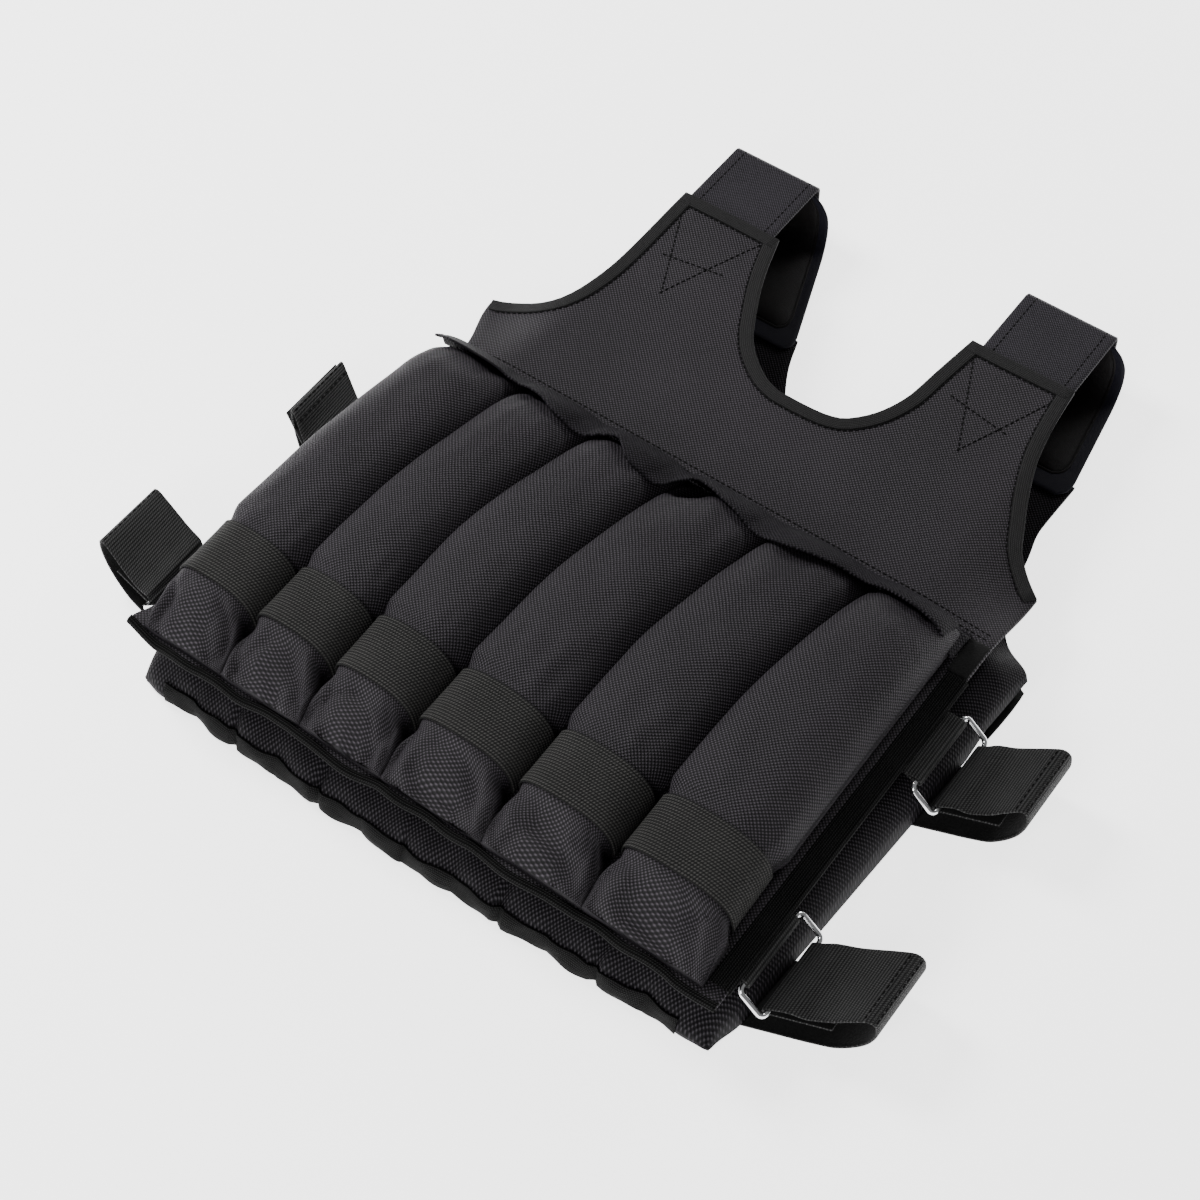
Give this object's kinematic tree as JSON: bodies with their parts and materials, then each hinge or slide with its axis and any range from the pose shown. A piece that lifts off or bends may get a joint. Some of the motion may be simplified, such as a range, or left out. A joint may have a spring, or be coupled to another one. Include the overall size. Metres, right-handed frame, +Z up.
{
  "type": "weighted vest",
  "caption": "Black weighted training vest lying flat, with rows of filled pockets front and back, padded shoulder straps and side straps on metal rings.",
  "frame": {"origin": "middle of the footprint's bounding box, on the surface that the vest lies on", "axes": "+Z up from the surface, +Y from the hem towards the shoulders, +X to the right across the chest as seen from above with the hem nearest"},
  "size_m": [0.5688, 0.5688, 0.0877],
  "materials": {
    "oxford": "woven, slight sheen",
    "webbing": "ribbed webbing",
    "elastic": "ribbed elastic",
    "pad_cloth": "smooth knit",
    "hook_cloth": "fuzzy",
    "chrome": "polished"
  },
  "bodies": {
    "root": {"front_panel": "oxford", "back_panel": "oxford", "front_pocket_1": "oxford", "back_pocket_1": "oxford", "front_band_1": "elastic", "back_band_1": "elastic", "front_pocket_2": "oxford", "back_pocket_2": "oxford", "front_band_2": "elastic", "back_band_2": "elastic", "front_pocket_3": "oxford", "back_pocket_3": "oxford", "front_band_3": "elastic", "back_band_3": "elastic", "front_pocket_4": "oxford", "back_pocket_4": "oxford", "front_band_4": "elastic", "back_band_4": "elastic", "front_pocket_5": "oxford", "back_pocket_5": "oxford", "front_band_5": "elastic", "back_band_5": "elastic", "front_pocket_6": "oxford", "back_pocket_6": "oxford", "front_band_6": "elastic", "back_band_6": "elastic", "front_flap": "oxford", "back_flap": "hook_cloth", "front_hem_tape": "webbing", "back_hem_tape": "webbing", "closure_patch": "hook_cloth", "front_binding_left": "webbing", "shoulder_strap_left": "oxford", "shoulder_pad_left": "pad_cloth", "front_binding_right": "webbing", "shoulder_strap_right": "oxford", "shoulder_pad_right": "pad_cloth", "side_strap_left_lower": "webbing", "ring_left_lower": "chrome", "ring_tab_left_lower": "webbing", "side_strap_left_upper": "webbing", "ring_left_upper": "chrome", "ring_tab_left_upper": "webbing", "side_strap_right_lower": "webbing", "ring_right_lower": "chrome", "ring_tab_right_lower": "webbing", "side_strap_right_upper": "webbing", "ring_right_upper": "chrome", "ring_tab_right_upper": "webbing"}
  },
  "joints": []
}
